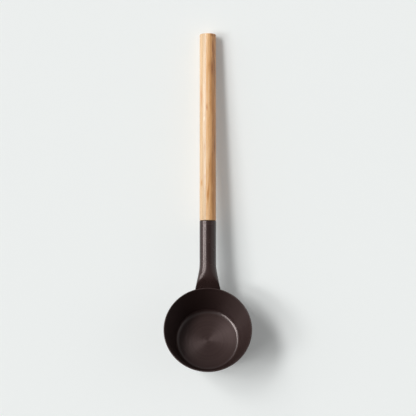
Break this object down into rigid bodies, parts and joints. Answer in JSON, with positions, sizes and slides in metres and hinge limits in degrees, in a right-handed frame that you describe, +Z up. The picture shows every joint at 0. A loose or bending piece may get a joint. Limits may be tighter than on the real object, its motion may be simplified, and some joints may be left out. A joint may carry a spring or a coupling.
{
  "type": "sauna ladle",
  "caption": "Sauna ladle: a conical dark brown metal bowl on a flared metal neck with a straight round handle of laminated bamboo, for pouring water over hot stones.",
  "frame": {"origin": "on the table under the middle of the ladle's box, as it lies at rest", "axes": "+Y along the handle to its free end, +Z up, X across the ladle, which is symmetric in X"},
  "size_m": [0.1042, 0.4038, 0.074],
  "materials": {
    "brown_metal": "dark brown anodised, satin, turned on the bowl's floor",
    "bamboo": "laminated bamboo, sanded and lightly oiled",
    "screw_steel": "plain stainless"
  },
  "bodies": {
    "root": {"bowl": "brown_metal", "neck": "brown_metal", "handle_strip_left_outer": "bamboo", "handle_strip_left_inner": "bamboo", "handle_strip_middle": "bamboo", "handle_strip_right_inner": "bamboo", "handle_strip_right_outer": "bamboo", "retaining_screw": "screw_steel"}
  },
  "joints": []
}
